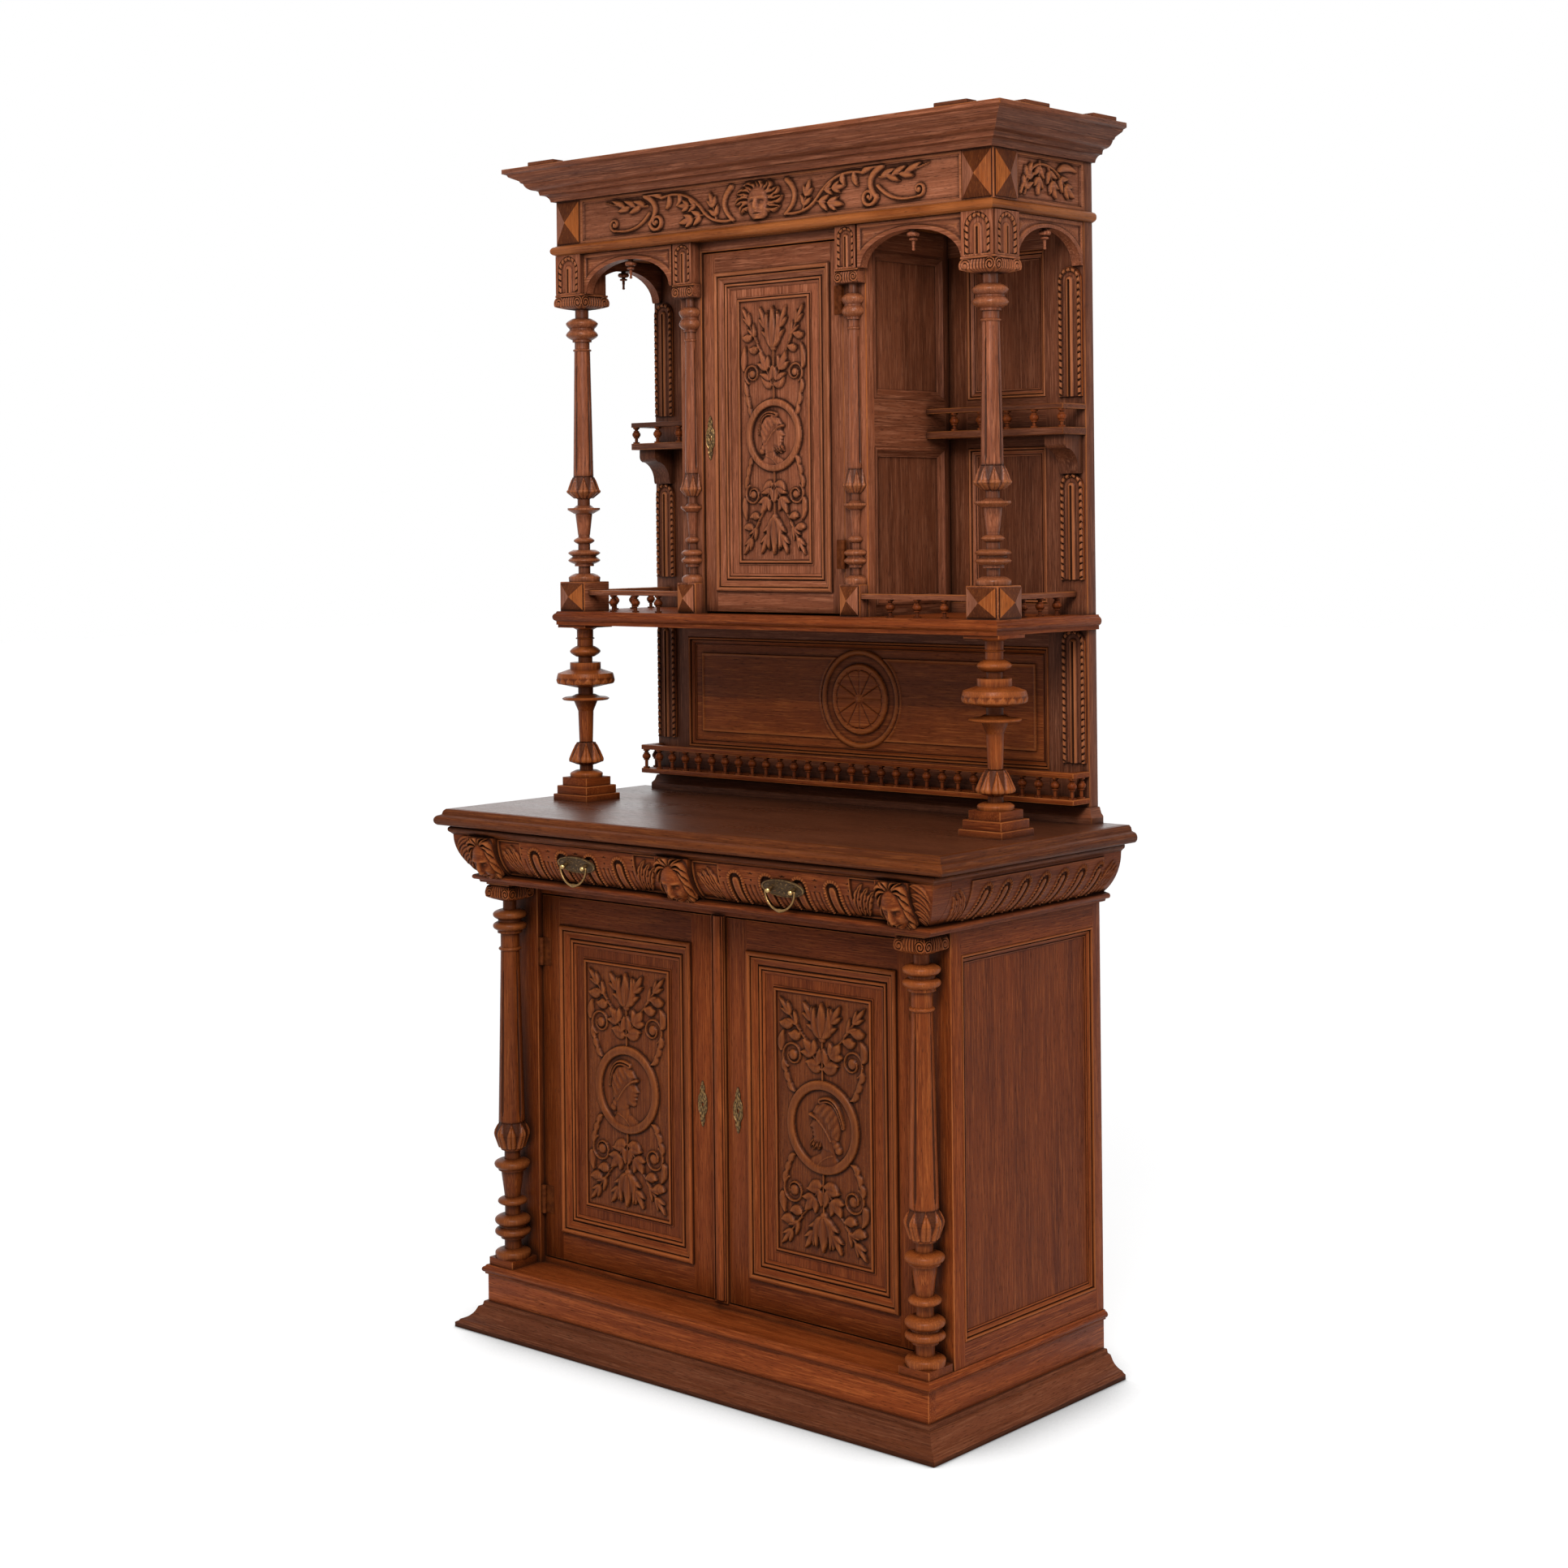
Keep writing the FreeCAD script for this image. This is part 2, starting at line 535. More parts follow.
SPINDLE = [(3, 7), (4, 3.5), (2, 6), (12, 9, "ring"), (2, 6), (4, 3.5, 5), (3, 7)]
SPINDLE_HEIGHT = 30
PENDANT = [(5, 3, "ring"), (6, 2.5), (4, 8, "ring"), (3, 4), (9, 12, "ring"), (4, 5)]
PENDANT_HEIGHT = 31


def total(members):
    return " + ".join(str(member[0]) for member in members)


def column(name, foot, shaft, head, height, x, depth, z, scale=1, angle=360):
    """A turned column whose tapered shaft takes up what its foot and head leave of the height."""
    rest = f"({height}) - ({total(foot)}) - ({total(head)})"
    return turned(name, foot + [(rest, *shaft)] + head, x, behind(depth), z, scale, angle)


def spindle(name, height, x, depth, z):
    """A little baluster whose neck takes up what its other members leave of the height."""
    neck = (f"({height}) - {SPINDLE_HEIGHT}", 3.5)
    return turned(name, SPINDLE[:2] + [neck] + SPINDLE[2:], x, behind(depth), z)


# Plinth and floor
board("plinth_frame", ("-case_half", "case_half"), depths("plinth_depth", "plinth_depth - plinth_board"),
      ("0", "plinth_height"))
boards("plinth_frame", ("case_half - plinth_board", "case_half"), depths("plinth_depth - plinth_board", "0"),
       ("0", "plinth_height"))
middle_board("plinth_frame", "case_half - plinth_board", depths("plinth_board", "0"), ("0", "plinth_height"))
surround("base_moulding", "case_half", "plinth_depth", "0", BASE_PROFILE, "base_projection")
middle_board("platform", "case_half", depths("plinth_depth", "0"), ("plinth_height", "floor_top"))
middle_board("platform", "opening_half", depths("door_face", "door_face - sill_depth"),
             ("floor_top", "opening_bottom"))
surround("platform", "case_half", "plinth_depth", "plinth_height", BEAD_PROFILE, "bead_projection")

# Sides and back of the base
SIDE_WIDE = ("wall_inside", "case_half")
SIDE_TALL = ("floor_top + side_bottom_rail", "ledge_bottom - side_top_rail")
boards("side_frames", SIDE_WIDE, depths("case_depth", "case_depth - side_front_stile"),
       ("floor_top", "ledge_bottom"))
boards("side_frames", SIDE_WIDE, depths("side_rear_stile", "0"), ("floor_top", "ledge_bottom"))
SIDE_SPAN = ("case_depth - side_front_stile", "side_rear_stile")
boards("side_frames", SIDE_WIDE, depths(*SIDE_SPAN), ("floor_top", SIDE_TALL[0]))
boards("side_frames", SIDE_WIDE, depths(*SIDE_SPAN), (SIDE_TALL[1], "ledge_bottom"))
boards("side_panels", ("side_panel_face - panel_thickness", "side_panel_face"), depths(*SIDE_SPAN),
       SIDE_TALL)
ring_frames("side_panels", ("side_panel_face", behind(SIDE_SPAN[0]), SIDE_TALL[0]), BACK, UP, RIGHT,
            f"{SIDE_SPAN[0]} - {SIDE_SPAN[1]}", f"{SIDE_TALL[1]} - ({SIDE_TALL[0]})", SIDE_MOULDING)
BACK_BOARDS = 4
for index in range(BACK_BOARDS):
    edges = [f"wall_inside * {2 * step / BACK_BOARDS - 1}" for step in (index, index + 1)]
    board("lower_back", edges, depths("back_thickness", "0"), ("floor_top", "ledge_bottom"))

# Front of the base
boards("front_posts", ("opening_half", "wall_inside"), depths("case_depth", "case_depth - side_front_stile"),
       ("floor_top", "ledge_bottom"))
middle_board("front_posts", "opening_half", depths("door_face", "door_face - sill_depth"),
             ("opening_top", "ledge_bottom"))
boards("lower_shelf", ("wall_inside - cleat_size", "wall_inside"),
       depths("case_depth - side_front_stile", "back_thickness"),
       ("shelf_height - cleat_size", "shelf_height"))
middle_board("lower_shelf", "wall_inside", depths("case_depth - shelf_setback", "back_thickness"),
             ("shelf_height", "shelf_height + shelf_thickness"))
BOLT_MIDDLE = "door_face - door_thickness / 2"
BOLT_ROOM = "bolt_thickness / 2 + 2 * bolt_clearance"
BOLT_RISE = "bolt_height / 2 + 2 * bolt_clearance"
MORTISE_DEPTHS = depths(f"{BOLT_MIDDLE} + {BOLT_ROOM}", f"{BOLT_MIDDLE} - ({BOLT_ROOM})")
centre_post = box("centre_post", ("-centre_post_width / 2", "centre_post_width / 2"),
                  depths("door_face + 4", "door_face + 4 - centre_post_depth"),
                  ("opening_bottom", "opening_top"))
for side in (-1, 1):
    limits = sorted((f"{side} * (centre_post_width / 2 - bolt_throw)", f"{side} * centre_post_width / 2"),
                    key=number)
    mortise = box("mortise", limits, MORTISE_DEPTHS,
                  (f"lock_height - ({BOLT_RISE})", f"lock_height + {BOLT_RISE}"))
    centre_post = difference(centre_post, mortise)
add("front_posts", centre_post)

# Columns of the base
COLUMN_X = ("column_half - column_block_side / 2", "column_half + column_block_side / 2")
COLUMN_Y = depths("column_depth + column_block_side / 2", "column_depth - column_block_side / 2")
boards("lower_columns", COLUMN_X, COLUMN_Y, ("floor_top", "column_foot"))
CAPITAL_X = ("column_half - capital_side / 2", "column_half + capital_side / 2")
CAPITAL_Y = depths("column_depth + capital_side / 2", "column_depth - capital_side / 2")
boards("lower_columns", CAPITAL_X, CAPITAL_Y, ("column_head", "ledge_bottom"))
lower_column = column("lower_column", LOWER_FOOT, (26.7, 19), LOWER_HEAD, "column_head - column_foot",
                      "column_half", "column_depth", "column_foot")
add("lower_columns", lower_column)
mirrored("lower_columns", lower_column)

# Drawer case
middle_board("drawer_ledge", "case_half", depths("drawer_case_depth", "0"), ("ledge_bottom", "ledge_top"))
surround("drawer_ledge", "case_half", "drawer_case_depth", "ledge_bottom", LEDGE_PROFILE, "ledge_projection")
CASE_TALL = ("ledge_top", "top_height - top_thickness")
boards("drawer_carcass", ("case_half - drawer_side_board", "case_half"), depths("mask_rear", "0"), CASE_TALL)
middle_board("drawer_carcass", "case_half - drawer_side_board", depths("back_thickness", "0"), CASE_TALL)
middle_board("drawer_carcass", "divider_width / 2", depths("mask_rear", "back_thickness"), CASE_TALL)
middle_board("drawer_carcass", "case_half", depths("drawer_case_depth", "mask_rear"),
             ("under_top_bottom", "top_height - top_thickness"))
for inner in ("drawer_low", "drawer_high"):
    boards("drawer_carcass", (inner, f"{inner} + guide_width"), depths("mask_rear", "back_thickness"),
           ("ledge_top", "ledge_top + guide_height"))
surround("worktop", "case_half", "drawer_case_depth", "under_top_bottom", UNDER_TOP_PROFILE,
         "under_top_projection")
FRIEZE_SIDE = ("case_half", behind("drawer_case_depth"), "ledge_top")
mirrored("side_friezes", strip("side_friezes", FRIEZE_SIDE, BACK, RIGHT, UP, "drawer_case_depth",
                               FRIEZE_PROFILE, ("outer", "square"), "frieze_flare"))
mirrored("side_friezes", strip("side_friezes", FRIEZE_SIDE, RIGHT, FRONT, UP, "0", FRIEZE_PROFILE,
                               ("square", "outer"), "frieze_flare"))
MASK_PROFILE = [(0, 0), ("rail_thickness + frieze_foot", 0, "frieze_bulge"),
                ("rail_thickness + frieze_flare + mask_projection", "drawer_zone_height"),
                (0, "drawer_zone_height")]


def mask(node, x_low, width):
    """A console block with a plain head standing out of its flared front."""
    corner = (x_low, behind("mask_rear"), "ledge_top")
    console = strip(node, corner, RIGHT, FRONT, UP, width, MASK_PROFILE, ("square", "square"))
    nodes[node].remove(console)
    head = doc.addObject("Part::Ellipsoid", node + "_head")
    bind(head, "Radius1", "mask_head_rise")
    bind(head, "Radius2", "mask_head_side")
    bind(head, "Radius3", "mask_head_depth")
    seat(head, f"{x_low} + ({width}) / 2", behind("face_middle_depth"), "face_middle_height")
    return add(node, union(node, [console, head]))


mask("drawer_masks", "-middle_half", "middle_mask_width")
mirrored("drawer_masks", mask("drawer_masks", "mask_inner", "mask_width"))

# Worktop
TOP_TALL = ("top_height - top_thickness", "top_height")
TOP_HALF = "top_length / 2 - nosing_width"
middle_board("worktop", TOP_HALF, depths("top_depth - nosing_width", "top_joint_depth"), TOP_TALL)
middle_board("worktop", TOP_HALF, depths("top_joint_depth", "0"), TOP_TALL)
surround("worktop", TOP_HALF, "top_depth - nosing_width", "top_height - top_thickness", NOSING_PROFILE,
         "nosing_width")


def hinge(door, fixed_node, pin_x, pin_depth, z, fixed_leaf, fixed_web, moving_leaf, moving_web):
    """A barrel hinge: a leaf with two knuckles and the pin on the cabinet, and a bored one on the door."""
    height = "3 * knuckle_height + 2 * knuckle_gap"
    pin_y = behind(pin_depth)
    middle = (f"{z} + knuckle_height + knuckle_gap", f"{z} + 2 * knuckle_height + knuckle_gap")
    fixed = [box("fixed_leaf", *fixed_leaf, (z, f"{z} + {height}"))]
    for low in (z, f"{middle[1]} + knuckle_gap"):
        fixed.append(box("fixed_web", *fixed_web, (low, f"{low} + knuckle_height")))
        fixed.append(cylinder("fixed_knuckle", "knuckle_radius", "knuckle_height", pin_x, pin_y, low))
    fixed.append(cylinder("hinge_pin", "pin_radius", height, pin_x, pin_y, z))
    add(fixed_node, union("fixed_half", fixed))
    moving = [box("moving_leaf", *moving_leaf, (z, f"{z} + {height}")),
              box("moving_web", *moving_web, middle),
              cylinder("moving_knuckle", "knuckle_radius", "knuckle_height", pin_x, pin_y, middle[0])]
    bore = cylinder("hinge_bore", "pin_radius + pin_clearance", "knuckle_height", pin_x, pin_y, middle[0])
    add(door + "_brasses", difference(union("moving_half", moving), bore))


def door(name, x, z, face, sizes, lock_z, medallion):
    """A framed door hung at its right: stiles, rails, moulding, panel, mortised lock and escutcheon."""
    stile, rail, thickness, lock_depth, moulding, margin = sizes
    left, right = x
    bottom, top = z
    span = depths(face, f"{face} - {thickness}")
    stile_edge = f"{left} + {stile}"
    opening_x = (stile_edge, f"{right} - {stile}")
    opening_z = (f"{bottom} + {rail}", f"{top} - {rail}")
    middle = f"{face} - {thickness} / 2"
    frame = name + "_frame"
    lock_limits = (f"{left}", f"{left} + {lock_depth}")
    lock_span = depths(f"{middle} + lock_thickness / 2", f"{middle} - lock_thickness / 2")
    lock_tall = (f"{lock_z} - lock_length / 2", f"{lock_z} + lock_length / 2")
    lock_stile = box(frame, (left, stile_edge), span, z)
    add(frame, difference(lock_stile, box("lock_pocket", lock_limits, lock_span, lock_tall)))
    board(frame, (opening_x[1], right), span, z)
    board(frame, opening_x, span, (bottom, opening_z[0]))
    board(frame, opening_x, span, (opening_z[1], top))
    panel = name + "_panel"
    panel_face = f"{face} - door_panel_recess"
    board(panel, opening_x, depths(panel_face, f"{panel_face} - door_panel_thickness"), opening_z)
    width = f"{opening_x[1]} - ({opening_x[0]})"
    height = f"{opening_z[1]} - ({opening_z[0]})"
    ring_frame(frame, (opening_x[0], behind(panel_face), opening_z[0]), RIGHT, UP, FRONT, width, height,
               door_moulding(moulding))
    inset = f"{moulding} + {margin}"
    ring_frame(panel, (f"{opening_x[0]} + {inset}", behind(panel_face), f"{opening_z[0]} + {inset}"),
               RIGHT, UP, FRONT, f"{width} - 2 * ({inset})", f"{height} - 2 * ({inset})", FIELD_MOULDING)
    add(panel, cylinder("medallion", medallion, "medallion_rise", f"({opening_x[0]} + {opening_x[1]}) / 2",
                        behind(panel_face), f"({opening_z[0]} + {opening_z[1]}) / 2", FRONT))
    room = "bolt_clearance"
    case = box("lock_case", lock_limits, lock_span, lock_tall)
    bolt_half = f"bolt_thickness / 2 + {room}"
    channel_z = (f"{lock_z} - bolt_height / 2 - {room}", f"{lock_z} + bolt_height / 2 + {room}")
    bolt_end = f"{left} + {lock_depth} - lock_wall"
    channel = box("bolt_channel", (left, f"{bolt_end} + {room}"),
                  depths(f"{middle} + {bolt_half}", f"{middle} - ({bolt_half})"), channel_z)
    add(name + "_lock", difference(case, channel))
    board(name + "_bolt", (left, bolt_end),
          depths(f"{middle} + bolt_thickness / 2", f"{middle} - bolt_thickness / 2"),
          (f"{lock_z} - bolt_height / 2", f"{lock_z} + bolt_height / 2"))
    plate = oval("escutcheon", "escutcheon_length / 2", "escutcheon_width / 2", "escutcheon_thickness",
                 (f"{left} + {stile} / 2", behind(face), lock_z), FreeCAD.Rotation(UP, LEFT, FRONT, "XYZ"))
    keyhole = cylinder("keyhole", "keyhole_radius", "escutcheon_thickness", f"{left} + {stile} / 2",
                       behind(face), lock_z, FRONT)
    add(name + "_brasses", difference(plate, keyhole))


def twin_nodes(source, target):
    for thing in list(nodes[source]):
        mirrored(target, thing)


# Lower doors: the right one is drawn and the left one is its twin.
LOWER_X = ("centre_post_width / 2 + door_gap", "opening_half - door_gap")
LOWER_Z = ("opening_bottom + door_gap", "opening_top - door_gap")
door("right_door", LOWER_X, LOWER_Z, "door_face",
     ("door_stile", "door_rail", "door_thickness", "lock_depth", "moulding_width", "field_margin"),
     "lock_height", "medallion_radius")
PIN_X = "opening_half - knuckle_offset"
PIN_DEPTH = "door_face + knuckle_offset"
for hinge_z in ("opening_bottom + hinge_inset", "opening_top - hinge_inset - 3 * knuckle_height"):
    hinge("right_door", "fixed_hinge_leaves", PIN_X, PIN_DEPTH, hinge_z,
          (("opening_half - leaf_thickness", "opening_half"),
           depths("case_depth - leaf_thickness", "door_face + leaf_thickness")),
          ((PIN_X, "opening_half - leaf_thickness / 2"),
           depths(f"{PIN_DEPTH} + web_width / 2", f"{PIN_DEPTH} - web_width / 2")),
          ((f"{PIN_X} - leaf_width", f"{PIN_X} + web_width / 2"),
           depths("door_face + leaf_thickness", "door_face")),
          ((f"{PIN_X} - web_width / 2", f"{PIN_X} + web_width / 2"),
           depths(PIN_DEPTH, "door_face + leaf_thickness / 2")))
for suffix in ("frame", "panel", "lock", "bolt", "brasses"):
    twin_nodes("right_door_" + suffix, "left_door_" + suffix)
twin_nodes("fixed_hinge_leaves", "fixed_hinge_leaves")

# Drawers: the right one is drawn and the left one is its twin.
FACE_PROFILE = [("drawer_gap", "drawer_gap"), ("rail_thickness + frieze_foot", "drawer_gap", "frieze_bulge"),
                ("rail_thickness + frieze_foot + face_run", "drawer_zone_height - drawer_gap"),
                ("drawer_gap", "drawer_zone_height - drawer_gap")]
strip("right_drawer_front", ("drawer_low", behind("mask_rear"), "ledge_top"), RIGHT, FRONT, UP,
      "drawer_high - drawer_low", FACE_PROFILE, ("square", "square"))
BOX_Z = ("box_bottom", "box_bottom + drawer_wall")
INSIDE_X = ("box_low + drawer_board", "box_high - drawer_board")
BOX_Y = depths("box_front", "box_rear")
board("right_drawer_box", ("box_low", INSIDE_X[0]), BOX_Y, BOX_Z)
board("right_drawer_box", (INSIDE_X[1], "box_high"), BOX_Y, BOX_Z)
board("right_drawer_box", INSIDE_X, depths("box_rear + drawer_board", "box_rear"), BOX_Z)
board("right_drawer_box", INSIDE_X, depths("box_front", "box_rear + drawer_board"),
      ("box_bottom + drawer_bottom", "box_bottom + 2 * drawer_bottom"))
TILT = FreeCAD.Rotation(RIGHT, number("face_tilt"))
OUTWARDS = TILT.multVec(FRONT)
FACE_ROTATION = FreeCAD.Rotation(RIGHT, TILT.multVec(UP), OUTWARDS, "XYZ")
pull = [oval("pull_plate", "pull_plate_length / 2", "pull_plate_height / 2", "pull_plate_thickness",
             ("drawer_middle", behind("pull_depth"), "pull_height"), FACE_ROTATION)]
for side in (-1, 1):
    pull.append(cylinder("pull_post", "pull_post_radius", "pull_post_length",
                         f"drawer_middle + {side} * pull_post_spacing / 2", behind("pull_depth"),
                         "pull_height", OUTWARDS))
post_bore = cylinder("post_bore", "bail_pin + pin_clearance", "2 * bail_radius",
                     "drawer_middle - bail_radius", behind("bail_depth"), "bail_height", RIGHT)
add("right_pull_plate", difference(union("pull", pull), post_bore))
hoop = doc.addObject("Part::Torus", "bail_hoop")
bind(hoop, "Radius1", "bail_radius")
bind(hoop, "Radius2", "bail_rod")
hoop.Angle3 = 180
hoop.Placement.Rotation = FreeCAD.Rotation(LEFT, DOWN, FRONT, "XYZ")
seat(hoop, "drawer_middle", behind("bail_depth"), "bail_height")
bail = [hoop]
for side, inwards in ((-1, RIGHT), (1, LEFT)):
    elbow = doc.addObject("Part::Sphere", "bail_elbow")
    bind(elbow, "Radius", "bail_rod")
    elbow_x = f"drawer_middle + {side} * bail_radius"
    seat(elbow, elbow_x, behind("bail_depth"), "bail_height")
    bail.append(elbow)
    bail.append(cylinder("bail_end", "bail_pin", "bail_pin_length", elbow_x, behind("bail_depth"),
                         "bail_height", inwards))
add("right_bail", union("bail", bail))
for suffix in ("drawer_front", "drawer_box", "pull_plate", "bail"):
    twin_nodes("right_" + suffix, "left_" + suffix)

# Back frame of the dresser
FRAME_Y = depths("back_frame_thickness", "0")
boards("back_frame", ("back_inside", "dresser_half"), FRAME_Y, ("top_height", "frieze_top"))
middle_board("back_frame", "back_inside", FRAME_Y, ("top_height", "serving_bottom"))
middle_board("back_frame", "back_inside", FRAME_Y, ("serving_top", "niche_bottom"))
middle_board("back_frame", "back_inside", FRAME_Y, ("niche_top", "frieze_top"))
INNER_STILE = ("cupboard_half", "cupboard_half + niche_inner_stile")
boards("back_frame", INNER_STILE, FRAME_Y, ("niche_bottom", "niche_top"))
NICHE_X = (INNER_STILE[1], "back_inside")
boards("back_frame", NICHE_X, FRAME_Y, ("niche_rail_bottom", "niche_rail_top"))
surround("back_frame", "dresser_half", "back_frame_thickness", "top_height", FOOT_PROFILE, "foot_projection")
PANEL_FACE = "back_frame_thickness - panel_recess"
PANEL_Y = depths(PANEL_FACE, f"{PANEL_FACE} - panel_thickness")
middle_board("serving_panel", "back_inside", PANEL_Y, ("serving_bottom", "serving_top"))
ring_frame("serving_panel", ("-back_inside", behind(PANEL_FACE), "serving_bottom"), RIGHT, UP, FRONT,
           "2 * back_inside", "serving_panel_height", SIDE_MOULDING)
add("serving_panel", cylinder("rosette", "rosette_radius", "rosette_rise", "0", behind(PANEL_FACE),
                              "(serving_bottom + serving_top) / 2", FRONT))
middle_board("dresser_panels", "cupboard_half", PANEL_Y, ("niche_bottom", "niche_top"))
for low, high in (("niche_bottom", "niche_rail_bottom"), ("niche_rail_top", "niche_top")):
    boards("dresser_panels", NICHE_X, PANEL_Y, (low, high))
    ring_frames("dresser_panels", (NICHE_X[0], behind(PANEL_FACE), low), RIGHT, UP, FRONT,
                f"{NICHE_X[1]} - ({NICHE_X[0]})", f"{high} - ({low})", SIDE_MOULDING)
PILASTER_RUNS = (("plate_shelf_top + plate_rail_height + 2 * rail_height", "mid_shelf_height"),
                 ("shelf_top + block_height", "niche_shelf_height - bracket_height"),
                 ("niche_shelf_top + gallery_height + 2 * rail_height", "arch_bottom"))
for low, high in PILASTER_RUNS:
    straight = f"{high} - ({low}) - pilaster_width / 2"
    points = [(0, "pilaster_margin"), ("pilaster_width", "pilaster_margin"),
              ("pilaster_width", straight, "pilaster_width / 2 - 0.5"), (0, straight)]
    corner = ("pilaster_middle - pilaster_width / 2", behind("back_frame_thickness"), low)
    mirrored("pilasters", add("pilasters", prism("pilaster", corner, RIGHT, UP, points, "pilaster_rise")))

# Plate shelf and its gallery
RAIL_DEPTHS = ("plate_shelf_front", "plate_shelf_front - rail_width")
PLATE_RAIL_Z = ("plate_shelf_top + plate_rail_height", "plate_shelf_top + plate_rail_height + rail_height")
middle_board("plate_rail", "dresser_half", depths("plate_shelf_front", "back_frame_thickness"),
             ("plate_shelf_bottom", "plate_shelf_top"))
middle_board("plate_rail", "dresser_half", depths(*RAIL_DEPTHS), PLATE_RAIL_Z)
boards("plate_rail", ("dresser_half - rail_width", "dresser_half"),
       depths(RAIL_DEPTHS[1], "back_frame_thickness"), PLATE_RAIL_Z)
PLATE_SPINDLES = 30
ROW_HALF = "dresser_half - rail_width / 2"
plate_spindle = spindle("plate_rail_spindle", "plate_rail_height", f"-({ROW_HALF})",
                        "plate_shelf_front - rail_width / 2", "plate_shelf_top")
add("plate_rail_spindles", row(plate_spindle, "H_Axis", f"2 * ({ROW_HALF})", PLATE_SPINDLES))
end_spindle = spindle("plate_rail_end", "plate_rail_height", ROW_HALF,
                      "back_frame_thickness + rail_width", "plate_shelf_top")
add("plate_rail_spindles", end_spindle)
mirrored("plate_rail_spindles", end_spindle)

# Vase columns on the worktop
STEPS = (("vase_foot_side", "top_height", "top_height + vase_foot_height"),
         ("vase_middle_side", "top_height + vase_foot_height", "vase_bottom - vase_step_height"),
         ("vase_top_side", "vase_bottom - vase_step_height", "vase_bottom"),
         ("vase_cap_side", "vase_top", "mid_shelf_height"))
for side, low, high in STEPS:
    boards("vase_columns", (f"dresser_column_half - {side} / 2", f"dresser_column_half + {side} / 2"),
           depths(f"dresser_column_depth + {side} / 2", f"dresser_column_depth - {side} / 2"), (low, high))
vase = column("vase_column", VASE_FOOT, (14, 16), VASE_HEAD, "vase_top - vase_bottom", "dresser_column_half",
              "dresser_column_depth", "vase_bottom")
add("vase_columns", vase)
mirrored("vase_columns", vase)

# Shelf of the dresser
middle_board("mid_shelf", "dresser_half", depths("dresser_depth", "back_frame_thickness"),
             ("mid_shelf_height", "shelf_top"))
surround("mid_shelf", "dresser_half", "dresser_depth", "mid_shelf_height", SHELF_NOSING, "shelf_nosing")

# Columns of the dresser
BLOCK_X = ("block_low", "block_high")
BLOCK_Y = depths("block_front", "block_rear")


def faced_block(node, z):
    """A square block with a low pyramid on its front and on its outer side."""
    low, high = z
    boards(node, BLOCK_X, BLOCK_Y, z)
    width = "block_side - 2 * pyramid_margin"
    height = f"{high} - ({low}) - 2 * pyramid_margin"
    faces = (pyramid(node, ("block_low + pyramid_margin", behind("block_front"), f"{low} + pyramid_margin"),
                     RIGHT, UP, width, height, "pyramid_rise"),
             pyramid(node, ("block_high", behind("block_front - pyramid_margin"), f"{low} + pyramid_margin"),
                     BACK, UP, width, height, "pyramid_rise"))
    for face in faces:
        mirrored(node, face)


faced_block("dresser_columns", ("shelf_top", "block_top"))
dresser_column = column("dresser_column", COLUMN_FOOT, (21, 16.5), COLUMN_HEAD, "dresser_column_height",
                        "dresser_column_half", "dresser_column_depth", "block_top")
add("dresser_columns", dresser_column)
mirrored("dresser_columns", dresser_column)
HALF_CAPITAL = "dresser_capital_side / 2"
boards("dresser_columns", (f"dresser_column_half - {HALF_CAPITAL}", f"dresser_column_half + {HALF_CAPITAL}"),
       depths(f"dresser_column_depth + {HALF_CAPITAL}", f"dresser_column_depth - {HALF_CAPITAL}"),
       ("capital_bottom", "impost_bottom"))
boards("dresser_columns", BLOCK_X, BLOCK_Y, ("impost_bottom", "soffit_bottom"))

# Cupboard between the niches
STILE_X = ("cupboard_opening", "cupboard_half")
STILE_Y = depths("cupboard_depth", "cupboard_depth - cupboard_stile_thickness")
CUPBOARD_Z = ("shelf_top", "soffit_bottom")
board("cupboard_front", STILE_X, STILE_Y, CUPBOARD_Z)
left_stile = box("cupboard_left_stile", ("-cupboard_half", "-cupboard_opening"), STILE_Y, CUPBOARD_Z)
CUPBOARD_BOLT = "cupboard_door_face - cupboard_door_thickness / 2"
keeper = box("cupboard_mortise", ("-cupboard_opening - bolt_throw", "-cupboard_opening"),
             depths(f"{CUPBOARD_BOLT} + {BOLT_ROOM}", f"{CUPBOARD_BOLT} - ({BOLT_ROOM})"),
             (f"cupboard_lock_height - ({BOLT_RISE})", f"cupboard_lock_height + {BOLT_RISE}"))
add("cupboard_front", difference(left_stile, keeper))
middle_board("cupboard_front", "cupboard_opening", STILE_Y,
             ("soffit_bottom - cupboard_head_rail", "soffit_bottom"))
WALL_X = ("cupboard_half - cupboard_wall", "cupboard_half")
WALL_FRONT = "cupboard_depth - cupboard_stile_thickness"
WALL_REAR = "back_frame_thickness + cupboard_rear_stile"
boards("cupboard_sides", WALL_X, depths(WALL_REAR, "back_frame_thickness"), CUPBOARD_Z)
WALL_RAILS = (("shelf_top", "niche_bottom"), ("niche_rail_bottom", "niche_rail_top"),
              ("niche_top", "soffit_bottom"))
for rail in WALL_RAILS:
    boards("cupboard_sides", WALL_X, depths(WALL_FRONT, WALL_REAR), rail)
WALL_FACE = "cupboard_half - panel_recess"
for low, high in (("niche_bottom", "niche_rail_bottom"), ("niche_rail_top", "niche_top")):
    boards("cupboard_sides", (f"{WALL_FACE} - panel_thickness / 2", WALL_FACE),
           depths(WALL_FRONT, WALL_REAR), (low, high))
    ring_frames("cupboard_sides", (WALL_FACE, behind(WALL_FRONT), low), BACK, UP, RIGHT,
                f"{WALL_FRONT} - ({WALL_REAR})", f"{high} - ({low})", SIDE_MOULDING)
CUPBOARD_INSIDE = "cupboard_half - cupboard_wall"
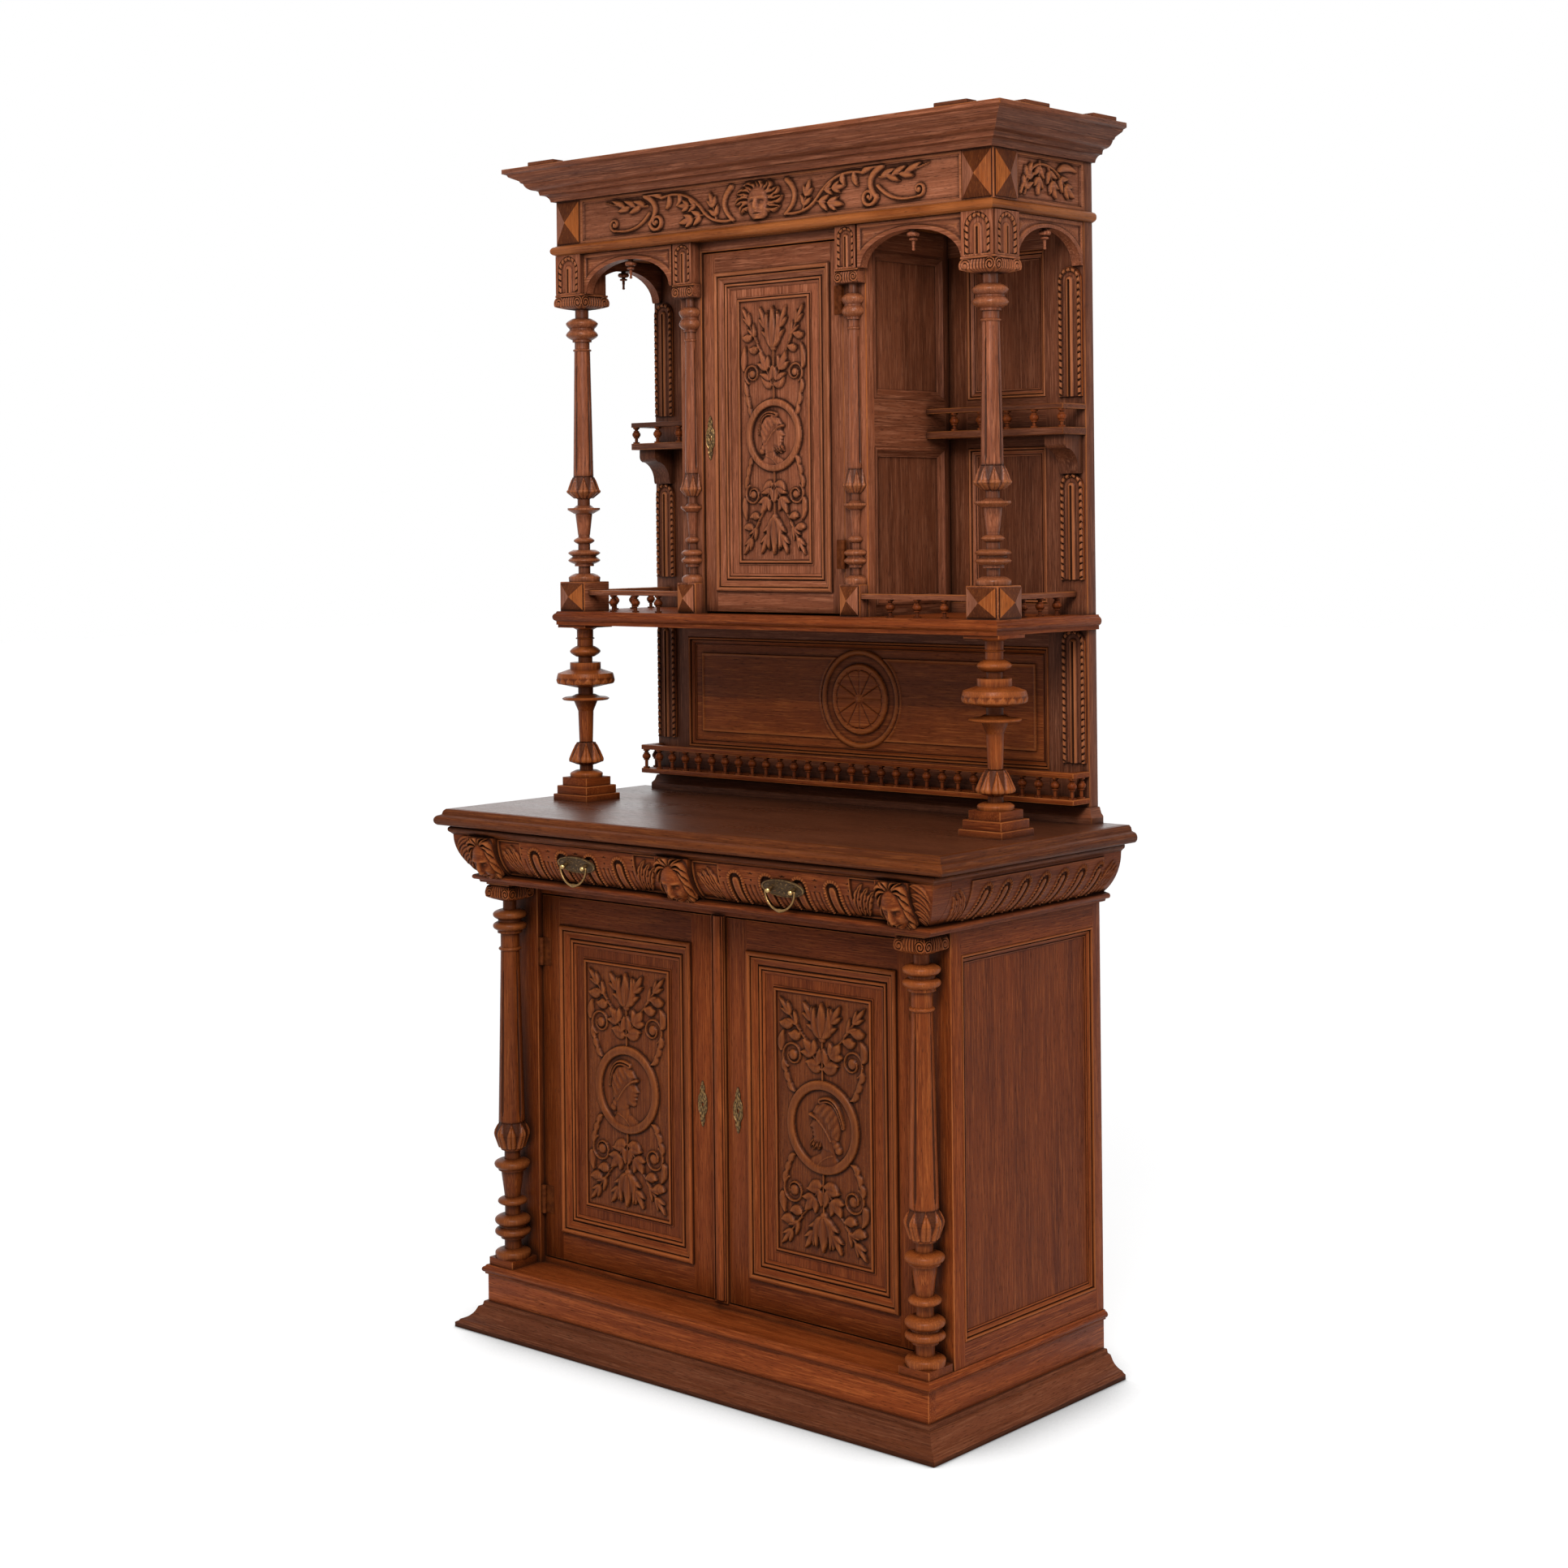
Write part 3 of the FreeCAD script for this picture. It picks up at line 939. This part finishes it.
boards("cupboard_shelf", (f"{CUPBOARD_INSIDE} - cleat_size", CUPBOARD_INSIDE),
       depths(WALL_FRONT, WALL_REAR), ("cupboard_shelf_height - cleat_size", "cupboard_shelf_height"))
middle_board("cupboard_shelf", CUPBOARD_INSIDE,
             depths(f"{WALL_FRONT} - shelf_thickness", "back_frame_thickness"),
             ("cupboard_shelf_height", "cupboard_shelf_height + shelf_thickness"))

# Half columns on the cupboard
HALF_BLOCK = ("half_column_middle - half_column_block / 2", "half_column_middle + half_column_block / 2")
HALF_Y = depths("cupboard_depth + half_column_projection", "cupboard_depth")
boards("half_columns", HALF_BLOCK, HALF_Y, ("shelf_top", "block_top"))
half_pyramid = (f"{HALF_BLOCK[0]} + pyramid_margin", behind("cupboard_depth + half_column_projection"),
                "shelf_top + pyramid_margin")
mirrored("half_columns", pyramid("half_columns", half_pyramid, RIGHT, UP,
                                 "half_column_block - 2 * pyramid_margin",
                                 "block_height - 2 * pyramid_margin", "pyramid_rise"))
boards("half_columns", ("cupboard_opening", "cupboard_half"),
       depths("cupboard_depth + half_column_projection + half_capital_overhang", "cupboard_depth"),
       ("half_column_top", "impost_bottom"))
boards("half_columns", HALF_BLOCK, HALF_Y, ("impost_bottom", "soffit_bottom"))
half_column = column("half_column", COLUMN_FOOT, (21, 16.5), COLUMN_HEAD, "half_column_top - block_top",
                     "half_column_middle", "cupboard_depth", "block_top", SIZES["half_column_scale"], 180)
half_column.Placement.Rotation = FreeCAD.Rotation(UP, 180)
add("half_columns", half_column)
mirrored("half_columns", half_column)

# Cupboard door
door("cupboard_door", ("-cupboard_opening + door_gap", "cupboard_opening - door_gap"),
     ("shelf_top + cupboard_floor_gap", "soffit_bottom - cupboard_head_rail - door_gap"),
     "cupboard_door_face",
     ("cupboard_door_stile", "cupboard_door_rail", "cupboard_door_thickness", "cupboard_lock_depth",
      "cupboard_moulding_width", "cupboard_field_margin"),
     "cupboard_lock_height", "cupboard_medallion_radius")
CUP_PIN_X = "cupboard_opening - door_gap / 2"
CUP_PIN_DEPTH = "cupboard_depth + cupboard_hinge_offset"
CUP_HINGES = ("shelf_top + hinge_inset",
              "soffit_bottom - cupboard_head_rail - hinge_inset - 3 * knuckle_height")
for hinge_z in CUP_HINGES:
    hinge("cupboard_door", "fixed_hinge_leaves", CUP_PIN_X, CUP_PIN_DEPTH, hinge_z,
          ((CUP_PIN_X, "half_column_middle - half_column_block / 2"),
           depths("cupboard_depth + leaf_thickness / 3", "cupboard_depth")),
          ((f"{CUP_PIN_X}", f"{CUP_PIN_X} + web_width"), depths(CUP_PIN_DEPTH, "cupboard_depth")),
          ((f"{CUP_PIN_X} - leaf_width", f"{CUP_PIN_X} - door_gap / 2"),
           depths("cupboard_door_face + leaf_thickness", "cupboard_door_face")),
          ((f"{CUP_PIN_X} - web_width - door_gap / 2", f"{CUP_PIN_X} - door_gap / 2"),
           depths(CUP_PIN_DEPTH, "cupboard_door_face + leaf_thickness / 2")))

# Galleries on the dresser shelf
GALLERY_Z = ("shelf_top + gallery_height", "shelf_top + gallery_height + rail_height")
GALLERY_FRONT = "cupboard_depth + half_column_projection / 2 + rail_width / 2"
FRONT_RUN = (HALF_BLOCK[1], "block_low")
SIDE_RUN = ("block_rear", "back_frame_thickness")
boards("gallery_rails", FRONT_RUN, depths(GALLERY_FRONT, f"{GALLERY_FRONT} - rail_width"), GALLERY_Z)
boards("gallery_rails", ("dresser_column_half - rail_width / 2", "dresser_column_half + rail_width / 2"),
       depths(*SIDE_RUN), GALLERY_Z)
GALLERY_SPINDLES = 3
front_step = f"(({FRONT_RUN[1]}) - ({FRONT_RUN[0]})) / {GALLERY_SPINDLES + 1}"
front_row = spindle("front_gallery", "gallery_height", f"{FRONT_RUN[0]} + {front_step}",
                    f"{GALLERY_FRONT} - rail_width / 2", "shelf_top")
row(front_row, "H_Axis", f"{front_step} * {GALLERY_SPINDLES - 1}", GALLERY_SPINDLES)
side_step = f"(({SIDE_RUN[0]}) - ({SIDE_RUN[1]})) / {GALLERY_SPINDLES + 1}"
side_row = spindle("side_gallery", "gallery_height", "dresser_column_half", f"{SIDE_RUN[1]} + {side_step}",
                   "shelf_top")
row(side_row, "N_Axis", f"{side_step} * {GALLERY_SPINDLES - 1}", GALLERY_SPINDLES)
for spindles in (front_row, side_row):
    mirrored("gallery_spindles", add("gallery_spindles", spindles))

# Niche shelves
NICHE_SHELF_X = ("cupboard_half", "dresser_half")
boards("niche_shelves", NICHE_SHELF_X, depths("niche_shelf_front", "back_frame_thickness"),
       ("niche_shelf_height", "niche_shelf_top"))
NICHE_RAIL_Z = ("niche_shelf_top + gallery_height", "niche_shelf_top + gallery_height + rail_height")
boards("niche_shelves", NICHE_SHELF_X, depths("niche_shelf_front", "niche_shelf_front - rail_width"),
       NICHE_RAIL_Z)
boards("niche_shelves", ("dresser_half - rail_width", "dresser_half"),
       depths("niche_shelf_front - rail_width", "back_frame_thickness"), NICHE_RAIL_Z)
BRACKET_PROFILE = [(0, 0), (12, 0), (14, 6, -8), ("bracket_projection - 14", "bracket_height - 26", 5),
                   ("bracket_projection", "bracket_height - 12"), ("bracket_projection", "bracket_height"),
                   (0, "bracket_height")]
bracket = strip("niche_shelves", ("pilaster_middle - bracket_width / 2", behind("back_frame_thickness"),
                                  "niche_shelf_height - bracket_height"), RIGHT, FRONT, UP, "bracket_width",
                BRACKET_PROFILE, ("square", "square"))
mirrored("niche_shelves", bracket)
NICHE_SPINDLES = 5
niche_step = f"({NICHE_SHELF_X[1]} - rail_width / 2 - {NICHE_SHELF_X[0]}) / {NICHE_SPINDLES}"
niche_row = spindle("niche_gallery", "gallery_height", f"cupboard_half + {niche_step}",
                    "niche_shelf_front - rail_width / 2", "niche_shelf_top")
row(niche_row, "H_Axis", f"{niche_step} * {NICHE_SPINDLES - 1}", NICHE_SPINDLES)
mirrored("gallery_spindles", add("gallery_spindles", niche_row))

# Arches and pendants under the soffit
ARCH_Z = ("arch_bottom", "soffit_bottom")
ARCH_FRONT = "cupboard_depth + half_column_projection"


def arch(node, x, y, centre, half_span, across):
    """A board with a flattened arch cut into its lower edge."""
    head = box(node, x, y, ARCH_Z)
    turn = FreeCAD.Rotation(across, UP, across.cross(UP), "XYZ")
    opening = oval("arch_opening", half_span, "arch_rise", "arch_thickness", centre, turn)
    return add(node, difference(head, opening))


FRONT_ARCH = ("cupboard_half", "block_low")
front_middle = f"({FRONT_ARCH[0]} + {FRONT_ARCH[1]}) / 2"
front_arch = arch("arches", FRONT_ARCH, depths(ARCH_FRONT, f"{ARCH_FRONT} - arch_thickness"),
                  (front_middle, behind(f"{ARCH_FRONT} - arch_thickness"), "arch_bottom"),
                  f"({FRONT_ARCH[1]} - {FRONT_ARCH[0]}) / 2 - arch_margin", RIGHT)
SIDE_ARCH_X = ("block_high - side_arch_inset - arch_thickness", "block_high - side_arch_inset")
side_middle = f"({SIDE_RUN[0]} + {SIDE_RUN[1]}) / 2"
side_arch = arch("arches", SIDE_ARCH_X, depths(*SIDE_RUN),
                 (SIDE_ARCH_X[0], behind(side_middle), "arch_bottom"),
                 f"({SIDE_RUN[0]} - {SIDE_RUN[1]}) / 2 - arch_margin", BACK)
for piece in (front_arch, side_arch):
    mirrored("arches", piece)
PENDANT_GAP = "0.2"
pendant_neck = (f"pendant_drop - {PENDANT_HEIGHT} - {PENDANT_GAP}", 3)
pendant_members = PENDANT[:2] + [pendant_neck] + PENDANT[2:]
pendant_foot = "arch_bottom + arch_rise - pendant_drop"
for place in ((front_middle, behind(f"{ARCH_FRONT} - arch_thickness / 2")),
              ("block_high - side_arch_inset - arch_thickness / 2", behind(side_middle))):
    mirrored("arches", add("arches", turned("pendant", pendant_members, *place, pendant_foot)))

# Soffit, frieze and cornice
middle_board("soffit", "dresser_half", depths("dresser_depth", "back_frame_thickness"),
             ("soffit_bottom", "soffit_top"))
surround("soffit", "dresser_half", "dresser_depth", "soffit_bottom", HALF_ROUND, "half_round_projection")
FRIEZE_Z = ("soffit_top", "frieze_top")
faced_block("frieze", FRIEZE_Z)
FRIEZE_FACE = "block_front - frieze_inset"
middle_board("frieze", "block_low", depths(FRIEZE_FACE, f"{FRIEZE_FACE} - frieze_board"), FRIEZE_Z)
boards("frieze", ("dresser_half - frieze_inset - frieze_board", "dresser_half - frieze_inset"),
       depths("block_rear", "back_frame_thickness"), FRIEZE_Z)
surround("cornice", "dresser_half", "dresser_depth", "frieze_top", CORNICE_PROFILE, "cornice_projection")
middle_board("dust_board", "dresser_half", depths("dresser_depth", "0"),
             ("frieze_top", "frieze_top + dust_board"))
CLEAT_REACH = "cornice_projection - top_cleat_setback"
CLEAT_SIDE_X = (f"dresser_half + {CLEAT_REACH} - top_cleat_width", f"dresser_half + {CLEAT_REACH}")
CLEAT_FRONT = f"dresser_depth + {CLEAT_REACH}"
HALF_CLEAT = "top_cleat_length / 2"
TOP_CLEATS = (((f"dresser_column_half - {HALF_CLEAT}", f"dresser_column_half + {HALF_CLEAT}"),
               (CLEAT_FRONT, f"{CLEAT_FRONT} - top_cleat_width")),
              (CLEAT_SIDE_X,
               (f"dresser_column_depth + {HALF_CLEAT}", f"dresser_column_depth - {HALF_CLEAT}")),
              (CLEAT_SIDE_X, ("back_frame_thickness + top_cleat_length", "back_frame_thickness")))
for cleat_x, cleat_depths in TOP_CLEATS:
    boards("dust_board", cleat_x, depths(*cleat_depths), ("cornice_top", "cornice_top + top_cleat_height"))

# Each node is one labelled group of its separate solids.
groups = []
for node, solids in nodes.items():
    group = doc.addObject("Part::Compound", node)
    group.Label = node
    group.Links = solids
    groups.append((node, group))
doc.recompute()

failed = [item.Label for item in doc.Objects if {"Invalid", "Error"} & set(item.State)]
for node, group in groups:
    if group.Shape.isNull() or not group.Shape.isValid():
        failed.append(node)
if failed:
    raise RuntimeError("failed: " + ", ".join(failed))

os.makedirs("parts", exist_ok=True)
for node, group in groups:
    group.Shape.exportStep(f"parts/{node}.step")
print(len(groups), "nodes,", sum(len(group.Shape.Solids) for _, group in groups), "solids")
